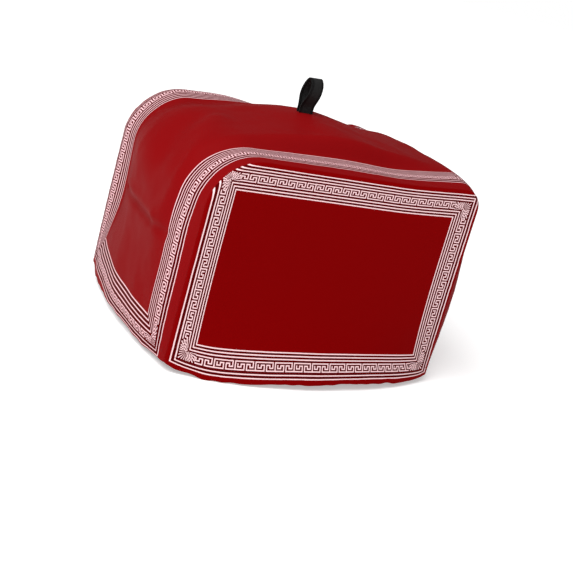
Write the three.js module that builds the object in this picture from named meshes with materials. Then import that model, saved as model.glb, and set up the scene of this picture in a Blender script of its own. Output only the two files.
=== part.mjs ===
// Fitted fabric cover, open at the bottom: two flat panels joined by one long strip that makes
// the left end, the top and the right end, and a webbing loop on the top.
import * as THREE from 'three';

// Driving dimensions in millimetres. X runs along the length, the front panel faces -Y.
const LENGTH = 294;
const DEPTH = 268;
const HEIGHT = 205;
const LEFT_CORNER = 50;
const RIGHT_CORNER = 20;
const THICKNESS = 2;
const SEAM_GAP = 0.3;

// The cloth spreads by this much at the hem, on each end.
const FLARE = 5;
// The panels' swell at the hem, and how fast it fades upward.
const BELLY = 30;
const BELLY_FADE = 3.6;
// Behind the middle the strip rises again to a rim beside the back seam, between these places.
const RIM_STARTS = 80;
const RIM_FULL = 112;
const RIM_POWER = 16;
// The step's own height changes toward the back between these places.
const BACK_STEP = [20, 80];
// The top edge rises toward the right corner, between these places along the length.
const RIGHT_LIFT = 4.8;
const LIFTED = [45, 160];
// The strip stays flat beside its seams, then steps up over this width.
const FLAT_BORDER = 35;
const STEP_WIDTH = 20;
// The folds fade in between these distances from the seams.
const FOLD_STARTS = 12;
const FOLD_FADE = 48;

const WEBBING_WIDTH = 16;
const WEBBING_THICKNESS = 1.6;
const LOOP_HEIGHT = 37;
const LOOP_WIDTH = 15;
// How far left of the middle the loop stands.
const LOOP_AT = -6;
// Height at which the loop's two tails part.
const LOOP_FOOT = 5;

// Places along the strip, measured on its seam from the left hem.
const LEFT_CORNER_START = HEIGHT - LEFT_CORNER;
const TOP_START = LEFT_CORNER_START + LEFT_CORNER * Math.PI / 2;
const TOP_MIDDLE = TOP_START + LENGTH / 2 - LEFT_CORNER;
const TOP_END = TOP_START + LENGTH - LEFT_CORNER - RIGHT_CORNER;
const RIGHT_CORNER_END = TOP_END + RIGHT_CORNER * Math.PI / 2;
const STRIP_END = RIGHT_CORNER_END + HEIGHT - RIGHT_CORNER;

const CROWN_DOME = 10;
const CROWN_STEP = 17;
// Height of the inside of the crown over the hem, which is the origin.
const CROWN_INSIDE = HEIGHT + CROWN_DOME + CROWN_STEP - THICKNESS;

// How far the strip swells out of its seam line: place, dome, dome's power in front, step, and behind
// the middle the dome's reach, the step's share and the rim's height beside the back seam.
const SWELL = [
  [0, 20, 1.6, 0, 155, 0, 9.5],
  [0.5 * LEFT_CORNER_START, 15, 5, 0, 90, 0, 9.5],
  [LEFT_CORNER_START, 16, 2, 3, 90, 0, 8],
  [(LEFT_CORNER_START + TOP_START) / 2, 7, 2, 5, 90, 0, 6],
  [TOP_START, 4, 2, 8, 90, 0.1, 9],
  [(TOP_START + TOP_MIDDLE) / 2, 7, 2, 13, 90, 0.55, 11],
  [TOP_MIDDLE, CROWN_DOME, 2, CROWN_STEP, 95, 0.7, 5],
  [(TOP_MIDDLE + TOP_END) / 2, 6, 2, 12, 90, 0.2, 0],
  [TOP_END, 8, 5, 1, 100, 1, 0],
  [RIGHT_CORNER_END, 13, 6, 0, 150, 1, 7],
  [(RIGHT_CORNER_END + STRIP_END) / 2, 21, 13, 0, 150, 1, 8],
  [STRIP_END, 19, 9, 0, 131, 0, 8],
];

// How far the hem hangs below its corners, along each edge from one end to the other.
const FRONT_HEM = [[-147, 0], [-127, 5.5], [-105, 8], [-60, 5], [-19, 2], [60, 0.7], [129, 3.5], [147, 0]];
const BACK_HEM = [[-147, 0], [-118, 4], [-60, 1], [10, 3], [95, 1.5], [126, 5], [147, 0]];
const END_HEM = [[-134, 0], [-96, 2.5], [-30, 0.5], [50, 2], [104, 1], [134, 0]];

// Folds in the left end: a run of places (along, across), the half-width and the height.
const FOLDS = [
  { run: [[112, 58], [111, 0], [112, -60], [113, -96]], half: 7, height: -2.6 },
  { run: [[119, -62], [151, -87], [182, -87], [207, -48], [219, -21]], half: 13, height: 3.2 },
  { run: [[204, -11], [188, -14], [172, -32]], half: 16, height: -3 },
];

// Smooth change from 0 to 1 between two places.
function rise(from, to, at) {
  const t = Math.min(Math.max((at - from) / (to - from), 0), 1);
  return t * t * (3 - 2 * t);
}

// Value of a table's column at a place, on a smooth curve through its rows.
function along(table, at, column = 1) {
  const last = table.length - 1;
  const slope = (i) => {
    const [before, after] = [table[Math.max(i - 1, 0)], table[Math.min(i + 1, last)]];
    return (after[column] - before[column]) / (after[0] - before[0]);
  };
  let i = 0;
  while (i < last - 1 && at > table[i + 1][0]) i += 1;
  const [a, b] = [table[i], table[i + 1]];
  const width = b[0] - a[0];
  const t = Math.min(Math.max((at - a[0]) / width, 0), 1);
  const blend = rise(0, 1, t);
  return a[column] * (1 - blend) + b[column] * blend
    + t * (1 - t) * width * ((1 - t) * slope(i) - t * slope(i + 1));
}

// Point of the strip's seam line and its outward direction, in the XZ plane.
function seamLine(s) {
  if (s < LEFT_CORNER_START) return { x: -LENGTH / 2, z: s, nx: -1, nz: 0 };
  if (s < TOP_START) {
    const angle = (s - LEFT_CORNER_START) / LEFT_CORNER;
    const [nx, nz] = [-Math.cos(angle), Math.sin(angle)];
    return { x: -LENGTH / 2 + LEFT_CORNER * (1 + nx), z: HEIGHT + LEFT_CORNER * (nz - 1), nx, nz };
  }
  if (s < TOP_END) return { x: -LENGTH / 2 + LEFT_CORNER + s - TOP_START, z: HEIGHT, nx: 0, nz: 1 };
  if (s < RIGHT_CORNER_END) {
    const angle = (s - TOP_END) / RIGHT_CORNER;
    const [nx, nz] = [Math.sin(angle), Math.cos(angle)];
    return { x: LENGTH / 2 + RIGHT_CORNER * (nx - 1), z: HEIGHT + RIGHT_CORNER * (nz - 1), nx, nz };
  }
  return { x: LENGTH / 2, z: STRIP_END - s, nx: 1, nz: 0 };
}

function flared(x, z) {
  return x * (1 + (2 * FLARE / LENGTH) * Math.max(1 - z / HEIGHT, 0));
}

// Height of a place once the top edge's rise is added.
function lifted(x, z) {
  return z + RIGHT_LIFT * rise(...LIFTED, x) * Math.min(Math.max(z / HEIGHT, 0), 1) ** 2;
}

// Shortest distance from a place to a run of straight stretches.
function distanceTo(run, s, y) {
  let nearest = Infinity;
  for (let i = 0; i < run.length - 1; i += 1) {
    const [a, b] = [run[i], run[i + 1]];
    const [ds, dy] = [b[0] - a[0], b[1] - a[1]];
    const t = Math.min(Math.max(((s - a[0]) * ds + (y - a[1]) * dy) / (ds * ds + dy * dy), 0), 1);
    nearest = Math.min(nearest, Math.hypot(s - a[0] - t * ds, y - a[1] - t * dy));
  }
  return nearest;
}

function foldHeight(s, y) {
  return FOLDS.reduce((sum, f) => sum + f.height * Math.exp(-((distanceTo(f.run, s, y) / f.half) ** 2)), 0);
}

// How far the strip stands out of its seam line, in front of the middle and behind it.
function swell(s, v, half) {
  const [dome, power, step, reach, share, rim] = [1, 2, 3, 4, 5, 6].map((column) => along(SWELL, s, column));
  if (v < 0) {
    const fromSeam = (1 + v) * half;
    return dome * (1 - Math.abs(v) ** power) + step * rise(FLAT_BORDER, FLAT_BORDER + STEP_WIDTH, fromSeam);
  }
  const y = v * half;
  const inner = dome * (1 - (y / reach) ** 2) + step * (1 - (1 - share) * rise(...BACK_STEP, y));
  const edge = rise(RIM_STARTS, RIM_FULL, y);
  return (inner * (1 - edge) + rim * edge) * (1 - v ** RIM_POWER);
}

// Point of the strip at a place along it and across it (-1 front to 1 back), some way under its face.
function stripPoint(s, v, under) {
  const seam = seamLine(s);
  const half = DEPTH / 2 - THICKNESS - SEAM_GAP;
  const held = rise(FOLD_STARTS, FOLD_FADE, (1 - Math.abs(v)) * half);
  const out = swell(s, v, half) + held * foldHeight(s, v * half) - under;
  const x = flared(seam.x, seam.z) + seam.nx * out;
  return new THREE.Vector3(x, v * half, lifted(seam.x, seam.z) + seam.nz * out - CROWN_INSIDE);
}

// Point of a panel at a length and height; side is -1 for the front and 1 for the back.
function panelPoint(x, z, side, under) {
  const low = Math.max(1 - z / HEIGHT, 0);
  const belly = BELLY * low ** BELLY_FADE * (1 - (2 * x / LENGTH) ** 2);
  const y = side * (DEPTH / 2 + belly - under);
  return new THREE.Vector3(flared(x, z), y, lifted(x, z) - CROWN_INSIDE);
}

// Even steps from one place to another, both ends included.
function steps(from, to, count) {
  return Array.from({ length: count + 1 }, (_, i) => from + (to - from) * i / count);
}

// Over the panels' top edge the strip and the panels share their places, and so one outline.
const topPlaces = [
  ...steps(LEFT_CORNER_START, TOP_START, 8),
  ...steps(TOP_START, TOP_END, 16).slice(1),
  ...steps(TOP_END, RIGHT_CORNER_END, 4).slice(1),
];
const stripPlaces = [
  ...steps(0, LEFT_CORNER_START, 13).slice(0, -1),
  ...topPlaces,
  ...steps(RIGHT_CORNER_END, STRIP_END, 9).slice(1),
];
const acrossPlaces = steps(-1, 1, 20);
const PANEL_ROWS = 12;

// A box with one cell to each pair of places, moved point by point onto a surface.
function sheet(columns, rows, thickness, surface) {
  const geometry = new THREE.BoxGeometry(1, 1, 1, columns, rows, 1);
  const position = geometry.attributes.position;
  for (let i = 0; i < position.count; i += 1) {
    const column = Math.round((position.getX(i) + 0.5) * columns);
    const row = Math.round((position.getY(i) + 0.5) * rows);
    const point = surface(column, row, position.getZ(i) > 0 ? 0 : thickness);
    position.setXYZ(i, point.x, point.y, point.z);
  }
  geometry.computeVertexNormals();
  return geometry;
}

function stripGeometry() {
  return sheet(stripPlaces.length - 1, acrossPlaces.length - 1, THICKNESS, (column, row, under) => {
    const [s, v] = [stripPlaces[column], acrossPlaces[row]];
    const leftHem = Math.max(1 - s / LEFT_CORNER_START, 0);
    const rightHem = Math.max(1 - (STRIP_END - s) / LEFT_CORNER_START, 0);
    return stripPoint(s + (rightHem - leftHem) * along(END_HEM, v * DEPTH / 2), v, under);
  });
}

function panelGeometry(side, hem) {
  const last = topPlaces.length - 1;
  return sheet(last, PANEL_ROWS, THICKNESS, (column, row, under) => {
    const edge = seamLine(topPlaces[side < 0 ? column : last - column]);
    const bottom = -along(hem, edge.x);
    return panelPoint(edge.x, bottom + (edge.z - bottom) * row / PANEL_ROWS, side, under);
  });
}

// The webbing's outer face seen along X: up one tail, round a drop and down the other tail.
function loopLine() {
  const [neck, half, top] = [WEBBING_THICKNESS + SEAM_GAP / 2, LOOP_WIDTH / 2, LOOP_HEIGHT];
  const line = new THREE.Path();
  line.moveTo(-neck, 0);
  line.lineTo(-neck, LOOP_FOOT);
  line.bezierCurveTo(-neck, 0.3 * top, -half, 0.42 * top, -half, 0.64 * top);
  line.bezierCurveTo(-half, 0.88 * top, -0.45 * half, top, 0, top);
  line.bezierCurveTo(0.45 * half, top, half, 0.88 * top, half, 0.64 * top);
  line.bezierCurveTo(half, 0.42 * top, neck, 0.3 * top, neck, LOOP_FOOT);
  line.lineTo(neck, 0);
  return line;
}

// The webbing's two tails lie together at the foot and open into an empty loop.
function loopGeometry() {
  const columns = 34;
  const rows = 2;
  const places = loopLine().getSpacedPoints(columns);
  return sheet(columns, rows, WEBBING_THICKNESS, (column, row, under) => {
    const ahead = places[Math.min(column + 1, columns)];
    const behind = places[Math.max(column - 1, 0)];
    const inward = ahead.clone().sub(behind).normalize().rotateAround(new THREE.Vector2(), -Math.PI / 2);
    const place = places[column].clone().addScaledVector(inward, under);
    return new THREE.Vector3(WEBBING_WIDTH * (0.5 - row / rows), place.x, place.y);
  });
}

function cloth(name, colour) {
  return new THREE.MeshStandardMaterial({ name, color: colour, roughness: 0.62, metalness: 0 });
}

const coverCloth = cloth('cover_cloth', 0x8c0a0c);
const webbing = cloth('webbing', 0x171717);

const cover = new THREE.Group();

function addPiece(name, geometry, material) {
  const mesh = new THREE.Mesh(geometry, material);
  mesh.name = name;
  cover.add(mesh);
  return mesh;
}

addPiece('front_panel', panelGeometry(-1, FRONT_HEM), coverCloth);
addPiece('back_panel', panelGeometry(1, BACK_HEM), coverCloth);
addPiece('gusset', stripGeometry(), coverCloth);

const loop = addPiece('handle_loop', loopGeometry(), webbing);
loop.position.set(LOOP_AT, 0, stripPoint(TOP_MIDDLE, 0, 0).z + SEAM_GAP);

export default cover;
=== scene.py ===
"""Fitted cover of printed red cloth: two panels and one long strip, sewn, with a webbing loop on top."""

import math

import bpy
from mathutils import Matrix, Quaternion, Vector, noise


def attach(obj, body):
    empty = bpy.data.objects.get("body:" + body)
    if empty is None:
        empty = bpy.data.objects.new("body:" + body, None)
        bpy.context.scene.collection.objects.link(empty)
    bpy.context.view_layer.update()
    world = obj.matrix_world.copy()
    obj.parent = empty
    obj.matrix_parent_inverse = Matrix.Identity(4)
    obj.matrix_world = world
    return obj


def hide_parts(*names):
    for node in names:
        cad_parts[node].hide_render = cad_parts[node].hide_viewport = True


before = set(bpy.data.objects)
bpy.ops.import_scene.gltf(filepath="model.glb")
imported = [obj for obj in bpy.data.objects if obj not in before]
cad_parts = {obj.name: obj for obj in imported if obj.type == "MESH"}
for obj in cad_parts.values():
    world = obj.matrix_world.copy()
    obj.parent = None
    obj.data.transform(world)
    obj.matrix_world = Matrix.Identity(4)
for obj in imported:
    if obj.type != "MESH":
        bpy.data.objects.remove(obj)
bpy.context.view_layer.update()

# Lengths are in millimetres until a point is placed, and again in the materials.
MM = 0.001
MM_PER_METRE = 1000

# The cover along its seams, and the radii of its top corners.
LENGTH = 294
DEPTH = 268
HEIGHT = 205
LEFT_CORNER = 50
RIGHT_CORNER = 20

# How much further out each end's hem lies, and the panels' belly at the hem.
FLARE = 5
BELLY = 30
BELLY_FADE = 3.6

# The top: its dome, the step behind the flat border, and its inner face, which is at height 0.
CROWN_DOME = 10
CROWN_STEP = 17
FLAT_BORDER = 35
STEP_WIDTH = 20
SOLID_CLOTH = 2
CROWN_INSIDE = HEIGHT + CROWN_DOME + CROWN_STEP - SOLID_CLOTH

# Where the step sinks again behind the middle, and where the rim beside the back seam takes over.
BACK_STEP = (20, 80)
RIM = (80, 112)
RIM_POWER = 16

# The top edge's lift toward the right corner, and the back edge's sag before it.
RIGHT_LIFT = 4.8
LIFTED = (45, 160)
SAG = 6
SAG_STARTS = (-10, 50)
SAG_ENDS = (118, 147)
SAG_ACROSS = (50, 125)

# Places along the strip, measured on its seam from the left hem.
LEFT_CORNER_START = HEIGHT - LEFT_CORNER
TOP_START = LEFT_CORNER_START + LEFT_CORNER * math.pi / 2
TOP_MIDDLE = TOP_START + LENGTH / 2 - LEFT_CORNER
TOP_END = TOP_START + LENGTH - LEFT_CORNER - RIGHT_CORNER
RIGHT_CORNER_END = TOP_END + RIGHT_CORNER * math.pi / 2
STRIP_END = RIGHT_CORNER_END + HEIGHT - RIGHT_CORNER

# How far the strip swells out of its seam line: place, dome, dome's power in front, step, and behind
# the middle the dome's reach, the step's share and the rim's height beside the back seam.
SWELL = [
    (0, 20, 1.6, 0, 155, 0, 9.5),
    (0.5 * LEFT_CORNER_START, 15, 5, 0, 90, 0, 9.5),
    (LEFT_CORNER_START, 16, 2, 3, 90, 0, 8),
    ((LEFT_CORNER_START + TOP_START) / 2, 7, 2, 5, 90, 0, 6),
    (TOP_START, 4, 2, 8, 90, 0.1, 9),
    ((TOP_START + TOP_MIDDLE) / 2, 7, 2, 13, 90, 0.55, 11),
    (TOP_MIDDLE, CROWN_DOME, 2, CROWN_STEP, 95, 0.7, 5),
    ((TOP_MIDDLE + TOP_END) / 2, 7.5, 2, 12, 90, 0.2, -1),
    (TOP_END, 8, 5, 1, 100, 1, 0),
    (RIGHT_CORNER_END, 13, 6, 0, 150, 1, 7),
    ((RIGHT_CORNER_END + STRIP_END) / 2, 21, 13, 0, 150, 1, 8),
    (STRIP_END, 19, 9, 0, 131, 0, 8),
]

# How far the hem hangs below its corners, along each edge from one end to the other.
FRONT_HEM = [(-147, 0), (-127, 5.5), (-105, 8), (-60, 5), (-19, 2), (60, 0.7), (129, 3.5), (147, 0)]
BACK_HEM = [(-147, 0), (-118, 4), (-60, 1), (10, 3), (95, 1.5), (126, 5), (147, 0)]
END_HEM = [(-134, 0), (-96, 2.5), (-30, 0.5), (50, 2), (104, 1), (134, 0)]

# Folds in the strip: a run of places (along, across), the half-width and the height. They grow to
# their height between two distances from a seam.
FOLD_FADES = (26, 58)
FOLDS = [
    ([(112, 58), (111, 0), (112, -60), (113, -96)], 5, -2.8),
    ([(122, 50), (121, 0), (122, -60)], 6, 1.2),
    ([(119, -62), (151, -87), (182, -87), (207, -48), (219, -21)], 13, 3.2),
    ([(204, -11), (188, -14), (172, -32)], 16, -3),
]

# The visible cloth: its thickness, its rolled edges at the seams, its seam allowance and its hem.
CLOTH = 0.6
PANEL_ROLL = 2.8
SEAM_ROLL = 0.65
ALLOWANCE = 8
SEAM_SLACK = 0.05
SEAM_PLANE = DEPTH / 2 - PANEL_ROLL - SEAM_ROLL
STRIP_HALF = SEAM_PLANE - SEAM_SLACK - SEAM_ROLL
HEM_ROLL = 0.9
HEM_TURN = 11
HEM_FADE = 4

# The sheets' mesh: its spacing, the turns in degrees at the corners and rolls, and the runs' steps.
GRID = 2.6
LEFT_CORNER_TURN = 3.75
RIGHT_CORNER_TURN = 7.5
ROLL_TURN = 15
SEAM_TURNS = (30, 60, 90)
HEM_TURNS = (36, 72, 108, 144, 180)
ALLOWANCE_STEPS = 2
HEM_STEPS = 4
NEAR = 0.001
SHARP = math.radians(60)

# Unevenness of the cloth, broad and fine: height, reach and seed.
STRIP_UNEVEN = ((1.3, 42, 1.5), (0.3, 14, 4.5))
PANEL_UNEVEN = ((0.35, 45, 8.5), (0.1, 12, 3.5))

# Puckers beside a seam, and small waves of a hem.
PUCKER = 1.1
PANEL_PUCKER = 0.7
PUCKER_STARTS = (0.6, 4)
PUCKER_REACH = 8
PUCKER_WIDTH = 5.5
SCALLOP = 1.6
SCALLOP_WIDTH = 12
SCALLOP_FADE = 5
FRONT_SEAM_SEED = 2.5
BACK_SEAM_SEED = 7.5
PANEL_SEAM_SEED = 9.5
LEFT_HEM_SEED = 4.5
RIGHT_HEM_SEED = 6.5
PANEL_HEM_SEED = 3.5


def rise(start, end, at):
    """Smooth change from 0 to 1 between two places."""
    t = min(max((at - start) / (end - start), 0), 1)
    return t * t * (3 - 2 * t)


def along(table, at, column=1):
    """Value of a table's column at a place, on a smooth curve through its rows."""
    last = len(table) - 1

    def slope(i):
        before, after = table[max(i - 1, 0)], table[min(i + 1, last)]
        return (after[column] - before[column]) / (after[0] - before[0])

    i = 0
    while i < last - 1 and at > table[i + 1][0]:
        i += 1
    a, b = table[i], table[i + 1]
    width = b[0] - a[0]
    t = min(max((at - a[0]) / width, 0), 1)
    blend = t * t * (3 - 2 * t)
    bend = t * (1 - t) * width * ((1 - t) * slope(i) - t * slope(i + 1))
    return a[column] * (1 - blend) + b[column] * blend + bend


def seam_line(s):
    """Point of the seam and its outward direction, in the XZ plane, as (x, z, nx, nz)."""
    if s < LEFT_CORNER_START:
        return -LENGTH / 2, s, -1, 0
    if s < TOP_START:
        angle = (s - LEFT_CORNER_START) / LEFT_CORNER
        nx, nz = -math.cos(angle), math.sin(angle)
        return -LENGTH / 2 + LEFT_CORNER * (1 + nx), HEIGHT + LEFT_CORNER * (nz - 1), nx, nz
    if s < TOP_END:
        return -LENGTH / 2 + LEFT_CORNER + s - TOP_START, HEIGHT, 0, 1
    if s < RIGHT_CORNER_END:
        angle = (s - TOP_END) / RIGHT_CORNER
        nx, nz = math.sin(angle), math.cos(angle)
        return LENGTH / 2 + RIGHT_CORNER * (nx - 1), HEIGHT + RIGHT_CORNER * (nz - 1), nx, nz
    return LENGTH / 2, STRIP_END - s, 1, 0


def flared(x, z):
    """The cover widens toward its hem."""
    return x * (1 + (2 * FLARE / LENGTH) * max(1 - z / HEIGHT, 0))


def lifted(x, z, back):
    """The top edge rises toward the right corner, and sags a little between; back is 1 at the back seam."""
    lift = RIGHT_LIFT * rise(*LIFTED, x) - SAG * back * rise(*SAG_STARTS, x) * (1 - rise(*SAG_ENDS, x))
    return z + lift * min(max(z / HEIGHT, 0), 1) ** 2


def distance_to(run, s, y):
    """Shortest distance from a place to a run of straight stretches."""
    nearest = math.inf
    for a, b in zip(run, run[1:]):
        ds, dy = b[0] - a[0], b[1] - a[1]
        t = min(max(((s - a[0]) * ds + (y - a[1]) * dy) / (ds * ds + dy * dy), 0), 1)
        nearest = min(nearest, math.hypot(s - a[0] - t * ds, y - a[1] - t * dy))
    return nearest


def fold_height(s, y):
    """How far the folds raise a place of the strip."""
    return sum(height * math.exp(-((distance_to(run, s, y) / half) ** 2)) for run, half, height in FOLDS)


def ripple(a, b, reach, seed):
    """Smooth noise that is the same in each run."""
    return noise.noise(Vector((a / reach, b / reach, seed)))


def uneven(layers, a, b):
    """Faint unevenness of the cloth."""
    return sum(height * ripple(a, b, reach, seed) for height, reach, seed in layers)


def pucker(place, from_seam, seed):
    """Small gathers that the stitching leaves beside a seam."""
    near = rise(*PUCKER_STARTS, from_seam) * math.exp(-from_seam / PUCKER_REACH)
    return PUCKER * near * ripple(place, from_seam, PUCKER_WIDTH, seed)


def scallop(at, up, seed):
    """Small waves of the hem's edge, which fade out upward."""
    return SCALLOP * max(1 - up / SCALLOP_FADE, 0) * ripple(at, 0, SCALLOP_WIDTH, seed)


def swell(s, y):
    """How far the strip stands out of its seam line."""
    dome, power, step, reach, share, rim = (along(SWELL, s, column) for column in range(1, 7))
    v = min(abs(y) / STRIP_HALF, 1)
    if y < 0:
        from_seam = STRIP_HALF - abs(y)
        return dome * (1 - v**power) + step * rise(FLAT_BORDER, FLAT_BORDER + STEP_WIDTH, from_seam)
    inner = dome * (1 - (y / reach) ** 2) + step * (1 - (1 - share) * rise(*BACK_STEP, y))
    edge = rise(*RIM, y)
    return (inner * (1 - edge) + rim * edge) * (1 - v**RIM_POWER)


def strip_face(s, y):
    """Point of the strip's outer face at a place along its cloth and across it."""
    left = max(1 - s / LEFT_CORNER_START, 0)
    right = max(1 - (STRIP_END - s) / LEFT_CORNER_START, 0)
    at = s + (right - left) * along(END_HEM, y)
    at += scallop(y, STRIP_END - s, RIGHT_HEM_SEED) - scallop(y, s, LEFT_HEM_SEED)
    x, z, nx, nz = seam_line(at)
    from_seam = STRIP_HALF - abs(y)
    form = fold_height(at, y) + uneven(STRIP_UNEVEN, s, y)
    out = swell(at, y) + rise(*FOLD_FADES, from_seam) * form
    out += pucker(s, from_seam, FRONT_SEAM_SEED if y < 0 else BACK_SEAM_SEED)
    return Vector((
        flared(x, z) + nx * out,
        y,
        lifted(x, z, rise(*SAG_ACROSS, y)) + nz * out - CROWN_INSIDE,
    ))


def way_out(x, z):
    """How far a panel's place is inside its seam, and the way out to it: (distance, direction)."""
    corner = LEFT_CORNER if x < 0 else RIGHT_CORNER
    side, top = LENGTH / 2 - abs(x), HEIGHT - z
    turn = -1 if x < 0 else 1
    if side < corner and top < corner:
        reach = math.hypot(corner - side, corner - top)
        return corner - reach, Vector((turn * (corner - side), 0, corner - top)) / reach
    return (side, Vector((turn, 0, 0))) if side < top else (top, Vector((0, 0, 1)))


def panel_top(x):
    """Height of the seam over a place on a panel."""
    corner = LEFT_CORNER if x < 0 else RIGHT_CORNER
    short = max(corner - (LENGTH / 2 - abs(x)), 0)
    return HEIGHT - corner + math.sqrt(max(corner**2 - short**2, 0))


def panel_face(x, t, side, hem):
    """Point of a panel's outer face, t up its cloth from the hem; side is -1 in front and 1 behind."""
    z = t - along(hem, x) * max(1 - t / HEIGHT, 0) ** HEM_FADE - scallop(x, t, PANEL_HEM_SEED * side)
    low = max(1 - z / HEIGHT, 0)
    belly = BELLY * low**BELLY_FADE * (1 - (2 * x / LENGTH) ** 2)
    inside = max(way_out(x, z)[0], 0)
    short = max(PANEL_ROLL - inside, 0)
    rolled = PANEL_ROLL - math.sqrt(PANEL_ROLL**2 - short**2)
    form = rise(PANEL_ROLL, FOLD_FADES[1], inside) * uneven(PANEL_UNEVEN, x, z)
    form += PANEL_PUCKER * pucker(x + z, inside, PANEL_SEAM_SEED * side)
    y = side * (DEPTH / 2 + belly - rolled + form)
    return Vector((flared(x, z), y, lifted(x, z, max(side, 0)) - CROWN_INSIDE))


def steps(start, end, size):
    """Even steps of about a size from one place to another, both ends included."""
    count = max(round((end - start) / size), 1)
    return [start + (end - start) * i / count for i in range(count + 1)]


def arc_steps(radius, degrees):
    """Distances in from an edge that follow equal turns of a rolled edge."""
    return [radius * (1 - math.cos(math.radians(a))) for a in steps(0, 90, degrees)]


def deselect():
    """Object mode with nothing selected."""
    if bpy.context.mode != "OBJECT":
        bpy.ops.object.mode_set(mode="OBJECT")
    bpy.ops.object.select_all(action="DESELECT")


def take(piece):
    """The piece alone is selected and active."""
    deselect()
    piece.select_set(True)
    bpy.context.view_layer.objects.active = piece


def grid(name, columns, rows):
    """A flat grid with one vertex to each pair of places, which it keeps with each vertex."""
    deselect()
    bpy.ops.mesh.primitive_grid_add(x_subdivisions=len(columns) - 1, y_subdivisions=len(rows) - 1, size=1)
    piece = bpy.context.object
    piece.name = name
    piece.data.name = name
    place = piece.data.attributes.new("place", "FLOAT_VECTOR", "POINT")
    for v in piece.data.vertices:
        i = round((v.co.x + 0.5) * (len(columns) - 1))
        j = round((v.co.y + 0.5) * (len(rows) - 1))
        place.data[v.index].vector = (columns[i], rows[j], 0)
    return piece


def edge_out(piece, picked, placed):
    """Extrudes the open edges whose ends are both picked, and puts each new vertex where placed says.

    Both take a vertex's index; placed gives the new vertex's point and its place on the cloth."""
    take(piece)
    mesh = piece.data
    open_ends = {}
    for face in mesh.polygons:
        for edge in face.edge_keys:
            open_ends[edge] = open_ends.get(edge, 0) + 1
    for v in mesh.vertices:
        v.select = False
    for face in mesh.polygons:
        face.select = False
    origin = {}
    for edge in mesh.edges:
        edge.select = open_ends.get(edge.key) == 1 and all(picked(i) for i in edge.vertices)
        if edge.select:
            for i in edge.vertices:
                mesh.vertices[i].select = True
                origin[tuple(mesh.vertices[i].co)] = i
    told = {key: placed(i) for key, i in origin.items()}
    bpy.ops.object.mode_set(mode="EDIT")
    bpy.ops.mesh.select_mode(type="EDGE")
    bpy.ops.mesh.extrude_edges_move(TRANSFORM_OT_translate={"value": (0, 0, 0)})
    bpy.ops.object.mode_set(mode="OBJECT")
    place = mesh.attributes["place"].data
    fresh = set()
    for v in mesh.vertices:
        if v.select:
            point, where = told[tuple(v.co)]
            v.co = point
            place[v.index].vector = where
            fresh.add(v.index)
    return fresh


def recess(piece, start, outward, across):
    """Rolls the seam edge under and runs it inward as the seam's allowance.

    outward gives a vertex's way out of the seam, across the way round to the seam's inner side."""
    mesh = piece.data
    turns = [(SEAM_ROLL * (1 - math.cos(a)), SEAM_ROLL * math.sin(a), SEAM_ROLL * a)
             for a in (math.radians(d) for d in SEAM_TURNS)]
    lengths = [ALLOWANCE * i / ALLOWANCE_STEPS for i in range(1, ALLOWANCE_STEPS + 1)]
    runs = [(SEAM_ROLL + d, SEAM_ROLL, SEAM_ROLL * math.pi / 2 + d) for d in lengths]
    ring = start
    before = (0, 0, 0)
    for step in turns + runs:

        def placed(i, step=step, before=before):
            v = mesh.vertices[i]
            where = mesh.attributes["place"].data[i].vector.copy()
            out, over = outward(where), across(where)
            point = v.co - out * ((step[0] - before[0]) * MM) + over * ((step[1] - before[1]) * MM)
            where.z = -step[2]
            return point, where

        ring = edge_out(piece, ring.__contains__, placed)
        before = step


def spot(where):
    """A place on the cloth, rounded so that the same place is found again."""
    return round(where.x, 4), round(where.y, 4)


def turn_hem(piece, start, face):
    """Folds the hem inward and runs it up inside the cloth; face gives a point of the outer face."""
    mesh = piece.data
    mesh.update()
    normals = {}
    for i in start:
        where = mesh.attributes["place"].data[i].vector
        normals[spot(where)] = mesh.vertices[i].normal.copy()
    arcs = [math.radians(d) for d in HEM_TURNS]
    stops = [(HEM_ROLL * math.sin(a), HEM_ROLL * (1 - math.cos(a)), 0) for a in arcs]
    stops += [(0, 2 * HEM_ROLL, HEM_TURN * i / HEM_STEPS) for i in range(1, HEM_STEPS + 1)]
    ring = start
    for down, under, up in stops:

        def placed(i, down=down, under=under, up=up):
            where = mesh.attributes["place"].data[i].vector.copy()
            normal = normals[spot(where)]
            base, above = face(where, up), face(where, up + 1)
            rising = (above - base).normalized()
            point = base * MM - rising * (down * MM) - normal * (under * MM)
            return point, where

        ring = edge_out(piece, ring.__contains__, placed)


def lay_print(piece, printed_place):
    """Writes the place on the printed cloth, in metres, as the piece's UV map."""
    place = piece.data.attributes["place"].data
    layer = piece.data.uv_layers.get("print") or piece.data.uv_layers.new(name="print")
    for loop in piece.data.loops:
        layer.data[loop.index].uv = [value * MM for value in printed_place(place[loop.vertex_index].vector)]


def thicken(piece, outside, inside, thickness=CLOTH):
    """Gives the sheet its thickness, inward, with the outer finish outside and the plain one inside."""
    take(piece)
    piece.data.materials.clear()
    piece.data.materials.append(outside)
    piece.data.materials.append(inside)
    modifier = piece.modifiers.new("thickness", "SOLIDIFY")
    modifier.thickness = thickness * MM
    modifier.offset = -1
    modifier.material_offset = 1
    modifier.material_offset_rim = 1
    bpy.ops.object.modifier_apply(modifier=modifier.name)
    bpy.ops.object.shade_smooth_by_angle(angle=SHARP)


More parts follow.
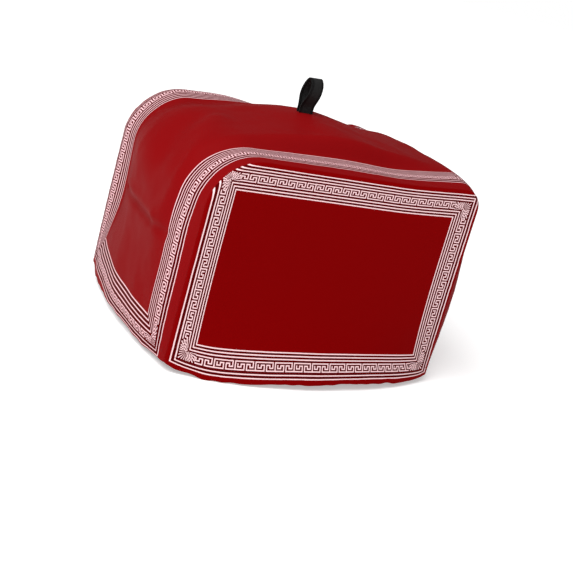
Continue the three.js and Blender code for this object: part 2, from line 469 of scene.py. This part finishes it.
def panel_piece(name, side, hem):
    """One of the two panels, rolled at its seam and turned at its hem."""
    left = arc_steps(LEFT_CORNER, LEFT_CORNER_TURN)
    right = arc_steps(RIGHT_CORNER, RIGHT_CORNER_TURN)
    middle = steps(-LENGTH / 2 + LEFT_CORNER, LENGTH / 2 - RIGHT_CORNER, GRID)
    columns = [-LENGTH / 2 + d for d in left] + middle[1:-1] + [LENGTH / 2 - d for d in reversed(right)]
    rolled = arc_steps(PANEL_ROLL, ROLL_TURN)
    rows = steps(0, 1, GRID / HEIGHT) + [1 + i for i in range(1, len(rolled))]

    def up(x, row):
        """Height up the cloth of a row, which counts on past 1 over the rolled edge."""
        top = panel_top(x)
        if row <= 1:
            return HEM_ROLL + (top - rolled[-1] - HEM_ROLL) * row
        return top - rolled[len(rolled) - 1 - round(row - 1)]

    piece = grid(name, columns, rows)
    place = piece.data.attributes["place"].data
    hem_ring, seam_ring = set(), set()
    for v in piece.data.vertices:
        x, row, _ = place[v.index].vector
        t = up(x, row)
        place[v.index].vector = (x, t, 0)
        v.co = panel_face(x, t, side, hem) * MM
        if row == 0:
            hem_ring.add(v.index)
        if abs(x) > LENGTH / 2 - NEAR or row > rows[-1] - NEAR:
            seam_ring.add(v.index)
    if side > 0:
        take(piece)
        piece.data.flip_normals()
    turn_hem(piece, hem_ring, lambda where, up: panel_face(where.x, where.y + up, side, hem))
    recess(
        piece,
        seam_ring,
        lambda where: way_out(where.x, where.y)[1],
        lambda where: Vector((0, -side, 0)),
    )
    lay_print(piece, lambda where: (where.x, where.y))
    return piece


def strip_piece():
    """The long strip, rolled under at both seams and turned at both hems."""
    rows = steps(-STRIP_HALF, STRIP_HALF, GRID)
    columns = steps(HEM_ROLL, STRIP_END - HEM_ROLL, GRID)
    piece = grid("gusset_cloth", columns, rows)
    place = piece.data.attributes["place"].data
    hem_ring, seam_ring = set(), set()
    for v in piece.data.vertices:
        s, y, _ = place[v.index].vector
        v.co = strip_face(s, y) * MM
        if s < HEM_ROLL + NEAR or s > STRIP_END - HEM_ROLL - NEAR:
            hem_ring.add(v.index)
        if abs(y) > STRIP_HALF - NEAR:
            seam_ring.add(v.index)

    def above(where, up):
        return strip_face(where.x + (up if where.x < TOP_MIDDLE else -up), where.y)

    def outward(where):
        _, _, nx, nz = seam_line(where.x)
        return Vector((nx, 0, nz))

    turn_hem(piece, hem_ring, above)
    recess(piece, seam_ring, outward, lambda where: Vector((0, math.copysign(1, where.y), 0)))
    lay_print(piece, strip_drift)
    return piece


class Value:
    """A socket that carries a number; the operators add Math nodes."""

    def __init__(self, tree, socket):
        self.tree = tree
        self.socket = socket

    def math(self, operation, *others):
        node = self.tree.nodes.new("ShaderNodeMath")
        node.operation = operation
        for socket, value in zip(node.inputs, (self, *others)):
            if isinstance(value, Value):
                self.tree.links.new(value.socket, socket)
            else:
                socket.default_value = value
        return Value(self.tree, node.outputs[0])

    def reflected(self, operation, other):
        node = self.tree.nodes.new("ShaderNodeMath")
        node.operation = operation
        node.inputs[0].default_value = other
        self.tree.links.new(self.socket, node.inputs[1])
        return Value(self.tree, node.outputs[0])

    def __add__(self, other):
        return self.math("ADD", other)

    __radd__ = __add__

    def __mul__(self, other):
        return self.math("MULTIPLY", other)

    __rmul__ = __mul__

    def __sub__(self, other):
        return self.math("SUBTRACT", other)

    def __rsub__(self, other):
        return self.reflected("SUBTRACT", other)

    def __truediv__(self, other):
        return self.math("DIVIDE", other)

    def __rtruediv__(self, other):
        return self.reflected("DIVIDE", other)

    def __abs__(self):
        return self.math("ABSOLUTE")

    def __lt__(self, other):
        return self.math("LESS_THAN", other)

    def __gt__(self, other):
        return self.math("GREATER_THAN", other)

    def least(self, other):
        return self.math("MINIMUM", other)

    def most(self, other):
        return self.math("MAXIMUM", other)

    def ramp(self, start, end):
        """0 before start, 1 past end, straight between."""
        return ((self - start) / (end - start)).most(0).least(1)


class Finish:
    """A material's node tree and the few things that the finishes here use."""

    def __init__(self, name):
        self.material = bpy.data.materials.new(name)
        self.material.use_nodes = True
        self.tree = self.material.node_tree
        self.shader = self.tree.nodes["Principled BSDF"]

    def put(self, socket, value):
        if isinstance(value, Value):
            self.tree.links.new(value.socket, socket)
        elif isinstance(value, bpy.types.NodeSocket):
            self.tree.links.new(value, socket)
        else:
            socket.default_value = value

    def add(self, kind, settings, inputs):
        """A node of a kind, with its settings first and then its sockets' values or links."""
        node = self.tree.nodes.new(kind)
        for key, value in settings.items():
            setattr(node, key, value)
        for key, value in inputs.items():
            self.put(node.inputs[key], value)
        return node

    def set(self, inputs):
        for key, value in inputs.items():
            self.put(self.shader.inputs[key], value)

    def value(self, socket):
        return Value(self.tree, socket)

    def cloth_place(self):
        """The place on the flat cloth, in millimetres, as two values."""
        uv = self.add("ShaderNodeUVMap", {"uv_map": "print"}, {}).outputs["UV"]
        parts = self.add("ShaderNodeSeparateXYZ", {}, {"Vector": uv})
        x, y = (self.value(parts.outputs[axis]) * MM_PER_METRE for axis in "XY")
        return x, y

    def mix(self, factor, a, b):
        node = self.add("ShaderNodeMix", {"data_type": "RGBA"}, {0: factor, 6: a, 7: b})
        return node.outputs[2]

    def noise(self, scale, detail):
        where = self.add("ShaderNodeTexCoord", {}, {}).outputs["Object"]
        node = self.add("ShaderNodeTexNoise", {}, {"Vector": where, "Scale": scale, "Detail": detail})
        return self.value(node.outputs["Fac"])

    def bump(self, height, strength, distance):
        node = self.add(
            "ShaderNodeBump", {}, {"Height": height, "Strength": strength, "Distance": distance * MM}
        )
        self.set({"Normal": node.outputs["Normal"]})


def grey(level):
    """An opaque grey."""
    return (level, level, level, 1)


# The printed border is drawn on one scale, to which each band stretches its own widths. On that scale
# these are the outer pair of lines, the key's outer and inner bars, and how far its zone reaches past them.
OUTER_LINES = (0, 3.5)
KEY_OUTER = 7
KEY_INNER = 14
KEY_MARGIN = 0.8
KEY_ROWS = 6
# The keys' strokes on their charts, from (column, row) to (column, row); row 0 is toward the middle.
LONG_KEY = [
    ((0, 0), (14, 0)),
    ((0, 0), (0, 6)),
    ((16, 0), (16, 6)),
    ((0, 6), (7, 6)),
    ((7, 2), (7, 6)),
    ((4.5, 2), (7, 2)),
    ((4.5, 2), (4.5, 4)),
    ((2, 4), (4.5, 4)),
    ((2, 2), (2, 4)),
    ((9, 6), (16, 6)),
    ((9, 2), (9, 6)),
    ((9, 2), (11.5, 2)),
    ((11.5, 2), (11.5, 4)),
    ((11.5, 4), (14, 4)),
    ((14, 0), (14, 4)),
]
SHORT_KEY = [
    ((0, 0), (7, 0)),
    ((0, 0), (0, 6)),
    ((9, 0), (9, 6)),
    ((2, 6), (9, 6)),
    ((2, 2), (2, 6)),
    ((2, 2), (4.5, 2)),
    ((4.5, 2), (4.5, 4)),
    ((4.5, 4), (7, 4)),
    ((7, 0), (7, 4)),
]
# Each print's key, the lines inside it, and half the width of its lines and of the key's strokes.
FRONT_PRINT = {"key": LONG_KEY, "columns": 16, "inner": (17, 20, 23), "line": 0.54, "stroke": 0.43}
STRIP_PRINT = {"key": SHORT_KEY, "columns": 9, "inner": (17, 20, 23, 26), "line": 0.44, "stroke": 0.48}
# Beside the outer pair and the key the scale runs in millimetres for this much, so strokes keep their
# width. A stroke's edge is soft over the second length, to each side.
EVEN = 0.7
SOFT = 0.15


def to_scale(d, band, last):
    """A distance in from the outer line, on the border's scale."""
    second, key_starts, key_ends, end = band
    stops = (second, second + EVEN, key_starts - EVEN, key_starts, key_ends, end)
    marks = (OUTER_LINES[1], OUTER_LINES[1] + EVEN, KEY_OUTER - EVEN, KEY_OUTER, KEY_INNER, last)
    own, drawn_at, slope, w = 0, 0, 0, d * 0
    for stop, mark in zip(stops, marks):
        stretch = (mark - drawn_at) / (stop - own)
        w = w + (d if own == 0 else (d - own).most(0)) * (stretch - slope)
        own, drawn_at, slope = stop, mark, stretch
    return w


def drawn(distance, half):
    """1 on a stroke's middle, softly 0 past half its width."""
    return 1 - distance.ramp(half - SOFT, half + SOFT)


def lines(w, places, half):
    """A line at each of the places."""
    distance = None
    for place in places:
        near = abs(w - place)
        distance = near if distance is None else distance.least(near)
    return drawn(distance, half)


def key(repeats, w, style):
    """The key at a place along its band, counted in repeats."""
    column = repeats.math("FRACT") * style["columns"]
    row = (KEY_INNER - w) * (KEY_ROWS / (KEY_INNER - KEY_OUTER))
    distance = None
    for (c0, r0), (c1, r1) in style["key"]:
        across = abs(column - (c0 + c1) / 2)
        up = abs(row - (r0 + r1) / 2)
        if c0 != c1:
            across = across - abs(c1 - c0) / 2
        if r0 != r1:
            up = up - abs(r1 - r0) / 2
        near = across.most(up)
        distance = near if distance is None else distance.least(near)
    return drawn(distance, style["stroke"])


# The corner ornament, on the border's scale: how far it reaches, its centre, the fan's leaves, which
# widen with their distance from it, the ring of the bud, and the curled leaves on each side.
ORNAMENT_END = 25
ORNAMENT_AT = 14.6
FAN_LEAVES = 24
FAN_WIDENING = 0.052
FAN_THINNING = 0.05
FAN_START = 2.6
FAN_END = 8.1
BUD = 1.5
BUD_HALF = 0.35
CURL_PITCH = 2.7
CURL_HALF = 0.4
CURL_BEND = 0.24
CURL_MIDDLE = 10.5
CURL_HALF_WIDTH_SQUARED = 15
CURL_LENGTH_SQUARED = 100


def ornament(wa, wb):
    """A fan of leaves round the corner of the key, and curled leaves one in the other on each side."""
    p, q = ORNAMENT_AT - wa, ORNAMENT_AT - wb
    reach = (p * p + q * q).math("SQRT")
    angle = p.math("ARCTAN2", q)
    leaf_turn = 2 * math.pi / FAN_LEAVES
    turn = (angle * (1 / leaf_turn) + 0.5).math("FRACT")
    beside = abs(turn - 0.5) * reach * leaf_turn
    fan = 1 - (beside - (reach * FAN_WIDENING - FAN_THINNING)).ramp(-SOFT, SOFT)
    fan = fan * (reach > FAN_START) * (p.most(q) < FAN_END)
    bud = drawn(abs(reach - BUD), BUD_HALF)
    across, out = wa.least(wb), wa.most(wb) - ORNAMENT_AT
    off = abs(across - CURL_MIDDLE)
    phase = ((out + off * off * CURL_BEND) / CURL_PITCH).math("FRACT")
    strokes = drawn(abs(phase - 0.5) * CURL_PITCH, CURL_HALF)
    leaf = drawn(off * off / CURL_HALF_WIDTH_SQUARED + out * out / CURL_LENGTH_SQUARED, 1)
    return (fan + bud + strokes * leaf * (out > 0)).least(1)


def border(a, b, bands, repeats, style):
    """The whole border, and the place on its scale.

    a and b are pairs of distances in from the outer lines that face each other."""
    last = style["inner"][-1]
    wa = to_scale(a[0], bands[0], last).least(to_scale(a[1], bands[1], last))
    wb = to_scale(b[0], bands[2], last).least(to_scale(b[1], bands[3], last))
    level = wb < wa
    w = wa.least(wb)
    along_band = a[0] * (1 / repeats[0]) * level + b[0] * (1 / repeats[1]) * (1 - level)
    corner = wa.most(wb) < ORNAMENT_END
    zone = (w > KEY_OUTER - KEY_MARGIN) * (w < KEY_INNER + KEY_MARGIN)
    figure = key(along_band, w, style) * (1 - corner) + ornament(wa, wb) * corner
    ruled = lines(w, OUTER_LINES + style["inner"], style["line"])
    return (ruled + zone * figure).least(1), w


# A panel's print: how far in its outer line lies, and for the left, right, top and hem bands how far in
# from it the second line, the key's two bars and the last line lie. The key repeats along and up.
FRONT_OUTER = {"left": 4.0, "right": 5.25, "top": 4.0, "hem": 5.0}
FRONT_BANDS = [
    (4.0, 6.5, 12.5, 19.75),
    (4.0, 7.25, 15, 24),
    (3.0, 8.5, 14.75, 23.75),
    (3.1, 6.6, 13.8, 22.8),
]
FRONT_REPEATS = (19.5, 20.4)
# A third outer line that only the top band has, from the left corner's ornament on.
SPARE_LINE = 5.75
SPARE_HALF = 0.5
SPARE_STARTS = 11

# The strip's print, in the same way: its two long sides and its two hems.
STRIP_OUTER = {"side": 13.2, "hem": 4.0}
SIDE_BAND = (4.0, 7.9, 14.0, 26.0)
END_BAND = (3.8, 7.2, 12.5, 31)
STRIP_BANDS = [SIDE_BAND, SIDE_BAND, END_BAND, END_BAND]
STRIP_REPEATS = (12.0, 12.0)
# Its print wanders beside the hems and the front seam: a place, and how much further in the print lies.
HEM_DRIFT = [(-134, -2.5), (-110, -2.3), (-83, -2), (-43, -1.8), (-10, -2.2), (10, -1), (54, 3), (134, 3)]
HEM_DRIFT_FADES = (30, 110)
SEAM_DRIFT = [(0, -3), (85, -3), (110, -1.5), (135, 0.5), (155, 0), (175, -0.5), (205, 0.3), (673, 0)]
SEAM_DRIFT_FADES = (-100, -40)
# Along the top the side bands are narrower by this share; inward it fades out between two places.
NARROWED = 0.14
NARROW_STARTS = (185, 235)
NARROW_ENDS = (455, 490)
NARROW_FADES = (30, 100)


def front_border(x, t):
    """The print of a panel, t up from its hem."""
    a = (x + (LENGTH / 2 - FRONT_OUTER["left"]), (LENGTH / 2 - FRONT_OUTER["right"]) - x)
    b = ((HEIGHT - FRONT_OUTER["top"]) - t, t - FRONT_OUTER["hem"])
    mask, w = border(a, b, FRONT_BANDS, FRONT_REPEATS, FRONT_PRINT)
    spare = drawn(abs(b[0] - SPARE_LINE), SPARE_HALF) * (a[0] > SPARE_STARTS) * (a[1] > FRONT_BANDS[1][0])
    return (mask + spare).least(1), w


def strip_border(s, y):
    """The print of the strip."""
    a = (y + (STRIP_HALF - STRIP_OUTER["side"]), (STRIP_HALF - STRIP_OUTER["side"]) - y)
    b = (s - STRIP_OUTER["hem"], (STRIP_END - STRIP_OUTER["hem"]) - s)
    return border(a, b, STRIP_BANDS, STRIP_REPEATS, STRIP_PRINT)


def strip_drift(where):
    """The place on the printed cloth that lies at a place of the strip."""
    s, y = where.x, where.y
    hem = along(HEM_DRIFT, y) * (1 - rise(*HEM_DRIFT_FADES, min(s, STRIP_END - s)))
    seam = along(SEAM_DRIFT, s) * (1 - rise(*SEAM_DRIFT_FADES, y))
    on_top = rise(*NARROW_STARTS, s) * (1 - rise(*NARROW_ENDS, s))
    inward = STRIP_HALF - STRIP_OUTER["side"] - abs(y)
    spread = NARROWED * on_top * max(inward, 0) * (1 - rise(*NARROW_FADES, inward))
    return s - (hem if s < TOP_MIDDLE else -hem), y - seam - math.copysign(spread, y)


# The reds of the cloth, which is deeper under the border, and the two pinks of the print. The strip is the
# panels' cloth: its red is lighter and greyer with a painted sheen, and its pink is darker with painted
# shade.
FRONT_RED = (0.2, 0.0002, 0.0006)
STRIP_RED_PAINTED_SHEEN = (0.222, 0.003, 0.004)
DEEP_RED = (0.085, 0.0, 0.0004)
FRONT_INK = (1.0, 0.69, 0.71)
STRIP_INK_PAINTED_SHADE = (0.9, 0.56, 0.59)
PLAIN_RED = (0.16, 0.004, 0.006)
PLAIN_SHADE = 0.8

# Each cloth's gloss and the weight of its sheen.
FRONT_GLOSS = (0.01, 0.005)
STRIP_GLOSS = (0.014, 0.0028)
INSIDE_GLOSS = (0.05, 0.02)
THREAD_GLOSS = (0.1, 0.02)
SHEEN_ROUGHNESS = 0.42
SHEEN_TINT = (1, 0.72, 0.7, 1)

# The weave's pitch, strength and height; the wear's scale, its detail and how much it roughens.
WEAVE_PITCH = 0.7
WEAVE_STRENGTH = 0.25
WEAVE_HEIGHT = 0.05
WORN = (14.0, 3.0)
WORN_SHARE = 0.08
PRINTED_ROUGHNESS = 0.5
INSIDE_ROUGHNESS = 0.6


def wave(x, pitch):
    """A sine wave of a pitch."""
    return (x * (2 * math.pi / pitch)).math("SINE")


def cloth_bump(finish, x, y):
    """A fine plain weave."""
    finish.bump(wave(x, WEAVE_PITCH) * wave(y, WEAVE_PITCH), WEAVE_STRENGTH, WEAVE_HEIGHT)


def sheen(finish, gloss, weight):
    finish.set({
        "Specular IOR Level": gloss,
        "Sheen Weight": weight,
        "Sheen Roughness": SHEEN_ROUGHNESS,
        "Sheen Tint": SHEEN_TINT,
    })


def printed_cloth(name, print_at, red, ink, last, gloss):
    """Smooth cloth with a printed border and a soft sheen; the ground is deeper up to the last line."""
    finish = Finish(name)
    x, y = finish.cloth_place()
    mask, w = print_at(x, y)
    worn = finish.noise(*WORN)
    inside_border = w.ramp(-1, 0) * (1 - w.ramp(last, last + 1))
    ground = finish.mix(inside_border, (*red, 1), (*DEEP_RED, 1))
    colour = finish.mix(mask, ground, (*ink, 1))
    finish.set({"Base Color": colour, "Roughness": PRINTED_ROUGHNESS + WORN_SHARE * worn})
    cloth_bump(finish, x, y)
    sheen(finish, *gloss)
    return finish.material


def plain_cloth(name):
    """The cloth's unprinted inside."""
    finish = Finish(name)
    x, y = finish.cloth_place()
    worn = finish.noise(*WORN)
    colour = finish.mix(worn, (*(PLAIN_SHADE * c for c in PLAIN_RED), 1), (*PLAIN_RED, 1))
    finish.set({"Base Color": colour, "Roughness": INSIDE_ROUGHNESS + WORN_SHARE * worn})
    cloth_bump(finish, x, y)
    sheen(finish, *INSIDE_GLOSS)
    return finish.material


front_last = FRONT_PRINT["inner"][-1]
strip_last = STRIP_PRINT["inner"][-1]
front_finish = printed_cloth("front_print", front_border, FRONT_RED, FRONT_INK, front_last, FRONT_GLOSS)
# The strip's red carries a painted sheen and its pink a painted shade over the panels' colours.
strip_finish = printed_cloth("strip_print", strip_border, STRIP_RED_PAINTED_SHEEN, STRIP_INK_PAINTED_SHADE, strip_last, STRIP_GLOSS)
inner_finish = plain_cloth("inside_cloth")


# The webbing of the loop on the top: its width and thickness, its ribs and picks, and the painted shade
# along its edges: where it starts and ends across, its dark, and the webbing's own black.
WEBBING_WIDTH = 16
WEBBING = 1.6
RIB_PITCH = 1.6
PICK_PITCH = 0.9
PICK_SHARE = 0.5
WEBBING_STRENGTH = 0.5
WEBBING_HEIGHT = 0.15
WEBBING_SHADE_SPAN = (4.5, 5.5)
WEBBING_EDGE_SHADE = 0.0015
WEBBING_BLACK = 0.013
WEBBING_ROUGHNESS = 0.6
WEBBING_GLOSS = 0.15
WEBBING_SHEEN = 0.03

# The loop: its size, the straight tails at its foot, its neck, the fold at the top, the shares of its
# height where its line bends, its turn and lean at the top, and where it stands.
LOOP_HEIGHT = 35.5
LOOP_WIDTH = 12.5
LOOP_FOOT = 5
LOOP_NECK = WEBBING + 0.15
LOOP_FOLD = 2.4
LOOP_BENDS = (0.3, 0.4, 0.6, 0.82)
LOOP_STEP = 1 / 14
LOOP_TURN = math.radians(16)
LOOP_LEAN = 3.0
LOOP_AT = -6
LOOP_CLEAR = 0.1


def bezier(a, b, c, d, t):
    """Point of a cubic curve."""
    u = 1 - t
    return [a[i] * u**3 + 3 * b[i] * u * u * t + 3 * c[i] * u * t * t + d[i] * t**3 for i in (0, 1)]


def loop_line():
    """The webbing's outer face seen along X: up one tail, round a drop and down the other tail."""
    neck, half, top, foot = LOOP_NECK, LOOP_WIDTH / 2, LOOP_HEIGHT, LOOP_FOOT
    leaves, swells, widest, closes = (share * top for share in LOOP_BENDS)
    points = [(-neck, z) for z in steps(0, foot, 1)]
    for a, b, c, d in [
        ((-neck, foot), (-neck, leaves), (-half, swells), (-half, widest)),
        ((-half, widest), (-half, closes), (-LOOP_FOLD, top), (0, top)),
        ((0, top), (LOOP_FOLD, top), (half, closes), (half, widest)),
        ((half, widest), (half, swells), (neck, leaves), (neck, foot)),
    ]:
        points += [bezier(a, b, c, d, t) for t in steps(0, 1, LOOP_STEP)[1:]]
    return points + [(neck, z) for z in reversed(steps(0, foot, 1)[:-1])]


def webbing_finish():
    """Black woven webbing with ribs along it, and painted shade darkening its two edges."""
    finish = Finish("webbing_weave")
    x, y = finish.cloth_place()
    height = wave(x, RIB_PITCH) + PICK_SHARE * wave(y, PICK_PITCH)
    # Painted shade: the webbing's colour darkens toward its two edges.
    middle = 1 - abs(x).ramp(*WEBBING_SHADE_SPAN)
    colour = finish.mix(middle, grey(WEBBING_EDGE_SHADE), grey(WEBBING_BLACK))
    finish.set({"Base Color": colour, "Roughness": WEBBING_ROUGHNESS})
    finish.bump(height, WEBBING_STRENGTH, WEBBING_HEIGHT)
    finish.set({"Specular IOR Level": WEBBING_GLOSS, "Sheen Weight": WEBBING_SHEEN})
    return finish.material


def loop_piece():
    """The loop, which turns and leans toward its top."""
    line = loop_line()
    lengths = [0]
    for a, b in zip(line, line[1:]):
        lengths.append(lengths[-1] + math.hypot(b[0] - a[0], b[1] - a[1]))
    rows = steps(-WEBBING_WIDTH / 2, WEBBING_WIDTH / 2, 1)
    piece = grid("loop_webbing", [float(i) for i in range(len(line))], rows)
    foot = strip_face(TOP_MIDDLE + LOOP_AT, 0).z + LOOP_CLEAR
    place = piece.data.attributes["place"].data
    for v in piece.data.vertices:
        i, across, _ = place[v.index].vector
        y, z = line[round(i)]
        turn = LOOP_TURN * rise(LOOP_FOOT, LOOP_HEIGHT, z)
        lean = LOOP_LEAN * rise(LOOP_FOOT, LOOP_HEIGHT, z)
        x_turned = across * math.cos(turn) - y * math.sin(turn)
        y_turned = across * math.sin(turn) + y * math.cos(turn)
        v.co = Vector((LOOP_AT + x_turned + lean, y_turned, z + foot)) * MM
        place[v.index].vector = (across, lengths[round(i)], 0)
    lay_print(piece, lambda where: (where.x, where.y))
    return piece


# The hems' stitching: the pitch, a stitch's half-sizes, its height over the hem, how far from the ends
# a row stops, and how far away the cloth's slope is taken.
STITCH_PITCH = 3.2
STITCH = (1.15, 0.24, 0.2)
STITCH_UP = 10
STITCH_ENDS = 5
SLOPE_STEP = 0.5

# The thread: its twist, the painted shade in the twist's grooves, and its red.
TWIST_PITCH = 0.5
TWIST_STRENGTH = 0.3
TWIST_HEIGHT = 0.04
THREAD_GROOVE_SHADE = (0.15, 0.004, 0.006, 1)
THREAD_RED = (0.24, 0.01, 0.014, 1)
THREAD_ROUGHNESS = 0.55


def thread_finish():
    """Twisted thread a little lighter than the cloth, with painted shade in the twist's grooves."""
    finish = Finish("red_thread")
    where = finish.add("ShaderNodeTexCoord", {}, {}).outputs["Object"]
    parts = finish.add("ShaderNodeSeparateXYZ", {}, {"Vector": where})
    x, y, z = (finish.value(parts.outputs[axis]) * MM_PER_METRE for axis in "XYZ")
    twist = wave(x + y + z, TWIST_PITCH)
    # Painted shade: the thread is darker where the twist's bump is low, in its grooves.
    colour = finish.mix(twist * 0.5 + 0.5, THREAD_GROOVE_SHADE, THREAD_RED)
    finish.set({"Base Color": colour, "Roughness": THREAD_ROUGHNESS})
    finish.bump(twist, TWIST_STRENGTH, TWIST_HEIGHT)
    sheen(finish, *THREAD_GLOSS)
    return finish.material


def stitch_row(name, places, face):
    """One row of stitches on the cloth; face gives the cloth's point at a place along the row."""
    deselect()
    bpy.ops.mesh.primitive_uv_sphere_add(segments=6, ring_count=5, radius=MM)
    stitch = bpy.context.object
    bpy.ops.object.mode_set(mode="EDIT")
    bpy.ops.mesh.select_all(action="SELECT")
    bpy.ops.transform.rotate(value=math.pi / 2, orient_axis="Y", center_override=(0, 0, 0))
    bpy.ops.transform.resize(value=STITCH, center_override=(0, 0, 0))
    bpy.ops.object.mode_set(mode="OBJECT")
    row = []
    for at in places:
        centre, ahead, above = face(at, 0), face(at + SLOPE_STEP, 0), face(at, SLOPE_STEP)
        run = (ahead - centre).normalized()
        out = run.cross(above - centre).normalized()
        if out.dot(Vector((centre.x, centre.y, 0))) < 0:
            out = -out
        turn = Matrix((run, out.cross(run), out)).transposed()
        copy = stitch.copy()
        copy.data = stitch.data.copy()
        copy.data.transform(Matrix.Translation(centre * MM) @ turn.to_4x4())
        bpy.context.scene.collection.objects.link(copy)
        row.append(copy)
    bpy.data.objects.remove(stitch)
    deselect()
    for copy in row:
        copy.select_set(True)
    bpy.context.view_layer.objects.active = row[0]
    bpy.ops.object.join()
    piece = bpy.context.object
    piece.name = name
    piece.data.name = name
    bpy.ops.object.shade_smooth()
    piece.data.materials.append(thread)
    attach(piece, "root")


def hem_stitches():
    """A row of stitches along each of the four hems."""
    along_panel = steps(-LENGTH / 2 + STITCH_ENDS, LENGTH / 2 - STITCH_ENDS, STITCH_PITCH)
    along_end = steps(-STRIP_HALF + STITCH_ENDS, STRIP_HALF - STITCH_ENDS, STITCH_PITCH)
    for name, side, hem in (("front_hem_stitches", -1, FRONT_HEM), ("back_hem_stitches", 1, BACK_HEM)):
        stitch_row(name, along_panel, lambda at, up: panel_face(at, STITCH_UP + up, side, hem))
    stitch_row("left_hem_stitches", along_end, lambda at, up: strip_face(STITCH_UP + up, at))
    stitch_row("right_hem_stitches", along_end, lambda at, up: strip_face(STRIP_END - STITCH_UP - up, at))


front = panel_piece("front_cloth", -1, FRONT_HEM)
back = panel_piece("back_cloth", 1, BACK_HEM)
gusset = strip_piece()
loop = loop_piece()
webbing = webbing_finish()
thread = thread_finish()

thicken(front, front_finish, inner_finish)
thicken(back, front_finish, inner_finish)
thicken(gusset, strip_finish, inner_finish)
thicken(loop, webbing, webbing, WEBBING)

for piece, node in ((front, "front_panel"), (back, "back_panel")):
    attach(piece, "root")
    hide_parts(node)
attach(gusset, "root")
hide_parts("gusset")
hem_stitches()
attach(loop, "root")
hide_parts("handle_loop")

# The camera, where the photograph was taken from.
EYE = Vector((-475.8, -881.6, 158.2)) * MM
AIM = Vector((22.6, -13.0, -190.0)) * MM
LENS = 59.65
SENSOR = 36
ROLL = math.radians(15.68)

camera_data = bpy.data.cameras.new("camera")
camera_data.lens = LENS
camera_data.sensor_width = SENSOR
camera = bpy.data.objects.new("camera", camera_data)
bpy.context.scene.collection.objects.link(camera)
camera.location = EYE
camera.rotation_mode = "QUATERNION"
camera.rotation_quaternion = (AIM - EYE).to_track_quat("-Z", "Y") @ Quaternion((0, 0, 1), ROLL)
bpy.context.scene.camera = camera

# The floor, in metres: its height and size, and its glow, which grows from near to far.
FLOOR = -0.2385
FLOOR_SIZE = 80
GLOW_NEAR = 0.42
GLOW_FAR = 0.85
GLOW_GROWS = (0.25, 1.6)
FLOOR_WHITE = 0.9
FLOOR_ROUGHNESS = 0.9
FLOOR_GLOSS = 0.1
SKY_LIGHT = 0.3


def floor_piece():
    """A white floor that runs into the white behind it."""
    deselect()
    bpy.ops.mesh.primitive_plane_add(size=FLOOR_SIZE, location=(0, 0, FLOOR))
    floor = bpy.context.object
    floor.name = "floor"
    finish = Finish("floor_white")
    where = finish.add("ShaderNodeTexCoord", {}, {}).outputs["Object"]
    length = finish.add("ShaderNodeVectorMath", {"operation": "LENGTH"}, {0: where})
    away = finish.value(length.outputs["Value"])
    glow = finish.mix(away.ramp(*GLOW_GROWS), grey(GLOW_NEAR), grey(GLOW_FAR))
    finish.set({
        "Base Color": grey(FLOOR_WHITE),
        "Roughness": FLOOR_ROUGHNESS,
        "Specular IOR Level": FLOOR_GLOSS,
        "Emission Color": glow,
        "Emission Strength": 1.0,
    })
    floor.data.materials.append(finish.material)


def area_light(name, place, aim, size, power):
    """A square light at a place, in metres, turned to what it lights."""
    data = bpy.data.lights.new(name, "AREA")
    data.size = size
    data.energy = power
    light = bpy.data.objects.new(name, data)
    bpy.context.scene.collection.objects.link(light)
    light.location = place
    light.rotation_euler = (Vector(aim) - Vector(place)).to_track_quat("-Z", "Y").to_euler()


def sky():
    """White behind the object, and a weaker even light on it."""
    world = bpy.data.worlds.new("studio")
    bpy.context.scene.world = world
    world.use_nodes = True
    tree = world.node_tree
    tree.nodes.clear()
    seen, lighting = (tree.nodes.new("ShaderNodeBackground") for _ in range(2))
    seen.inputs["Strength"].default_value = 1.0
    seen.inputs["Color"].default_value = grey(1)
    lighting.inputs["Strength"].default_value = SKY_LIGHT
    lighting.inputs["Color"].default_value = grey(1)
    path = tree.nodes.new("ShaderNodeLightPath")
    mix = tree.nodes.new("ShaderNodeMixShader")
    out = tree.nodes.new("ShaderNodeOutputWorld")
    tree.links.new(path.outputs["Is Camera Ray"], mix.inputs[0])
    tree.links.new(lighting.outputs[0], mix.inputs[1])
    tree.links.new(seen.outputs[0], mix.inputs[2])
    tree.links.new(mix.outputs[0], out.inputs[0])


floor_piece()
sky()
area_light("key", place=(-0.88, -0.5, 1.42), aim=(0, 0, -0.1), size=1.4, power=36)
bpy.context.scene.view_settings.view_transform = "Standard"
